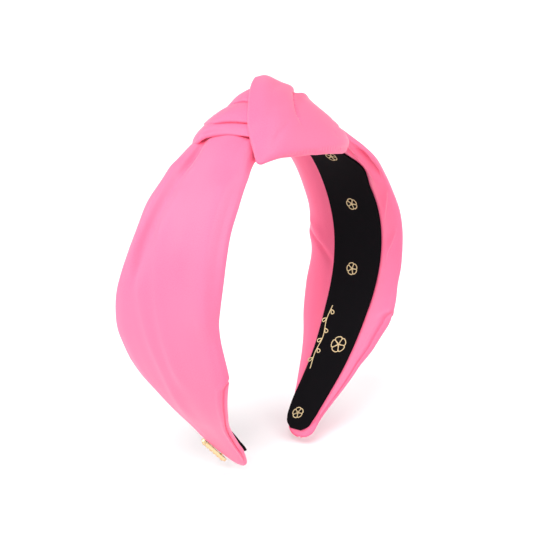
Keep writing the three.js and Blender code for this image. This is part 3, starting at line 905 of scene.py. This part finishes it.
def make_interlining(arm):
    side = 1 if arm == "right" else -1
    s = np.linspace(INTERLINING_WIDTHS[0][0], INTERLINING_WIDTHS[-1][0], 80)
    width = curve(*zip(*INTERLINING_WIDTHS), s)
    return bar_mesh(f"interlining_{arm}_pad", side, s, width, INTERLINING_BOTTOM, INTERLINING_TOP)


# ---- materials ----

PINK = (0.91, 0.145, 0.28)
DEEP_PINK = (0.89, 0.125, 0.26)
BLACK = (0.0022, 0.0019, 0.0025)
GOLD = (0.80, 0.62, 0.34)
PRINT_GOLD = (0.62, 0.50, 0.30)
CREAM = (0.80, 0.76, 0.68)
SMOKE = (0.045, 0.045, 0.05)


class Nodes:
    """A new material's node tree, with short calls to add and link nodes."""

    def __init__(self, name):
        self.material = bpy.data.materials.new(name)
        self.material.use_nodes = True
        self.tree = self.material.node_tree
        self.shader = next(n for n in self.tree.nodes if n.type == "BSDF_PRINCIPLED")

    def add(self, kind, inputs=(), **settings):
        node = self.tree.nodes.new("ShaderNode" + kind)
        for name, value in settings.items():
            setattr(node, name, value)
        for name, value in dict(inputs).items():
            if isinstance(value, bpy.types.NodeSocket):
                self.tree.links.new(value, node.inputs[name])
            else:
                node.inputs[name].default_value = value
        return node

    def finish(self, **values):
        for name, value in values.items():
            socket = self.shader.inputs[name.replace("_", " ")]
            if isinstance(value, bpy.types.NodeSocket):
                self.tree.links.new(value, socket)
            else:
                socket.default_value = value
        return self.material


def rgba(colour):
    return (*colour, 1)


def woven(nodes, thread, strength, crinkle=0.0):
    """A plain weave in the cloth's own coordinates, as a bump."""
    cloth_uv = nodes.add("UVMap", uv_map="cloth").outputs["UV"]
    spread = nodes.add("Mapping", {"Vector": cloth_uv, "Scale": (1 / MM, 1 / MM, 1)}).outputs[0]
    warp = nodes.add("TexWave", {"Vector": spread, "Scale": 0.314 / thread, "Distortion": 0.6,
                                 "Detail": 1.0}, bands_direction="X")
    weft = nodes.add("TexWave", {"Vector": spread, "Scale": 0.314 / thread, "Distortion": 0.6,
                                 "Detail": 1.0}, bands_direction="Y")
    threads = nodes.add("Math", {0: warp.outputs["Fac"], 1: weft.outputs["Fac"]}, operation="MULTIPLY")
    grain = nodes.add("TexNoise", {"Vector": spread, "Scale": 2.2, "Detail": 2.0})
    height = nodes.add("Math", {0: threads.outputs[0], 1: grain.outputs["Fac"]}, operation="ADD")
    bump = nodes.add("Bump", {"Height": height.outputs[0], "Strength": strength, "Distance": 0.0001})
    if crinkle:
        slow = nodes.add("TexNoise", {"Vector": spread, "Scale": 0.09, "Detail": 2.0})
        bump = nodes.add("Bump", {"Height": slow.outputs["Fac"], "Strength": crinkle, "Distance": 0.001,
                                  "Normal": bump.outputs[0]})
    return bump.outputs[0], grain.outputs["Fac"]


def pink_satin():
    nodes = Nodes("pink_satin")
    normal, grain = woven(nodes, 0.32, 0.15, 0.06)
    place_in = nodes.add("TexCoord").outputs["Object"]
    cloud = nodes.add("TexNoise", {"Vector": place_in, "Scale": 22.0, "Detail": 2.0})
    mix = nodes.add("Math", {0: cloud.outputs["Fac"], 1: grain}, operation="ADD")
    colour = nodes.add("ValToRGB", {"Fac": mix.outputs[0]})
    colour.color_ramp.elements[0].position = 0.7
    colour.color_ramp.elements[0].color = rgba(DEEP_PINK)
    colour.color_ramp.elements[1].position = 1.3
    colour.color_ramp.elements[1].color = rgba(PINK)
    return nodes.finish(
        Base_Color=colour.outputs[0], Roughness=0.5, Specular_IOR_Level=0.35, Sheen_Weight=0.35,
        Sheen_Roughness=0.45, Sheen_Tint=(1, 0.75, 0.88, 1), Normal=normal,
    )


def black_ribbon():
    nodes = Nodes("black_ribbon")
    normal, grain = woven(nodes, 0.25, 0.35)
    colour = nodes.add("ValToRGB", {"Fac": grain})
    colour.color_ramp.elements[0].color = rgba(BLACK)
    colour.color_ramp.elements[1].color = rgba(tuple(2.2 * c for c in BLACK))
    return nodes.finish(
        Base_Color=colour.outputs[0], Roughness=0.6, Specular_IOR_Level=0.03, Normal=normal,
    )


def metal(name, colour, roughness):
    nodes = Nodes(name)
    place_in = nodes.add("TexCoord").outputs["Object"]
    scuffs = nodes.add("TexNoise", {"Vector": place_in, "Scale": 900.0, "Detail": 4.0})
    rough = nodes.add("MapRange", {"Value": scuffs.outputs["Fac"], "To Min": roughness * 0.8,
                                   "To Max": roughness * 1.3})
    return nodes.finish(Base_Color=rgba(colour), Metallic=1.0, Roughness=rough.outputs[0])


def plain(name, colour, roughness, scale):
    nodes = Nodes(name)
    place_in = nodes.add("TexCoord").outputs["Object"]
    speckle = nodes.add("TexNoise", {"Vector": place_in, "Scale": scale, "Detail": 4.0})
    shade = nodes.add("ValToRGB", {"Fac": speckle.outputs["Fac"]})
    shade.color_ramp.elements[0].color = rgba(tuple(0.85 * c for c in colour))
    shade.color_ramp.elements[1].color = rgba(colour)
    bump = nodes.add("Bump", {"Height": speckle.outputs["Fac"], "Strength": 0.2, "Distance": 0.0002})
    return nodes.finish(Base_Color=shade.outputs[0], Roughness=roughness, Normal=bump.outputs[0])


def dress(piece, material):
    piece.data.materials.clear()
    piece.data.materials.append(material)


# ---- the object ----

satin = pink_satin()
ribbon = black_ribbon()
plastic = plain("smoke_plastic", SMOKE, 0.35, 300.0)
felt = plain("cream_felt", CREAM, 0.9, 900.0)
gold = metal("badge_gold", GOLD, 0.28)
printed = metal("print_gold", PRINT_GOLD, 0.6)


def bend_with(piece, arm):
    side = 1 if arm == "right" else -1
    start, end = place([[side * BEND_FROM, 0, 2], [side * BEND_TO, 0, 2]]).tolist()
    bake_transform(piece)


for arm in ("right", "left"):
    cover = make_cover(arm)
    dress(cover, satin)
    bend_with(cover, arm)
    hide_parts(f"cover_{arm}")

    lining = make_lining(arm)
    dress(lining, ribbon)
    bend_with(lining, arm)
    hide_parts(f"lining_{arm}_arm")

    core = make_core(arm)
    dress(core, plastic)
    bend_with(core, arm)
    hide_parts(f"core_{arm}_arm", "core_crown")

    pad = make_interlining(arm)
    dress(pad, felt)
    bend_with(pad, arm)
    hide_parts(f"interlining_{arm}")

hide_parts("lining_crown")

wrap = make_wrap()
dress(wrap, satin)
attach(wrap, "crown")
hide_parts("knot_wrap", "knot_pleats_right")

pleats = make_pleats()
dress(pleats, satin)
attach(pleats, "crown")
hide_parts("knot_pleats_left")

prints = make_prints()
dress(prints, printed)
bend_with(prints, "right")

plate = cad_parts["badge_plate"]
plate.data.materials.clear()
plate.data.materials.append(gold)
beads = make_beads(plate)
dress(beads, gold)
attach(beads, "left_arm")

# ---- stage ----


FLOOR_WHITE = 0.92
FLOOR_DROP = 0.002
WORLD_STRENGTH = 0.24

# Soft lights: name, azimuth, elevation and spread in degrees, strength.
LIGHTS = (
    ("key", -68, 45, 30, 2.2),
    ("side", -100, 15, 40, 0.5),
    ("front", -25, 35, 30, 0.4),
    ("top", 0, 70, 40, 1.1),
    ("right", 40, 30, 40, 0.8),
    ("rear", -150, 30, 40, 1.6),
)


def make_floor():
    nodes = Nodes("floor")
    floor = piece_of("floor", [(-3, -3, 0), (3, -3, 0), (3, 3, 0), (-3, 3, 0)], [(0, 1, 2, 3)])
    floor.location.z = cad_box[0][2] - FLOOR_DROP
    floor.data.materials.append(nodes.finish(Base_Color=rgba((FLOOR_WHITE,) * 3), Roughness=0.9))


def soft_light(name, azimuth, elevation, spread, strength):
    """Soft light from an azimuth and an elevation, as wide as its spread, all in degrees."""
    a, e = math.radians(azimuth), math.radians(elevation)
    away = Vector((math.sin(a) * math.cos(e), -math.cos(a) * math.cos(e), math.sin(e)))
    data = bpy.data.lights.new(name, "SUN")
    data.angle = math.radians(spread)
    data.energy = strength
    light = bpy.data.objects.new(name, data)
    bpy.context.scene.collection.objects.link(light)
    light.rotation_euler = away.to_track_quat("Z", "Y").to_euler()


make_floor()
for lamp in LIGHTS:
    soft_light(*lamp)

world = bpy.data.worlds.new("studio")
world.use_nodes = True
background = world.node_tree.nodes["Background"]
background.inputs["Color"].default_value = (1, 1, 1, 1)
background.inputs["Strength"].default_value = WORLD_STRENGTH
bpy.context.scene.world = world
bpy.context.scene.view_settings.view_transform = "Standard"
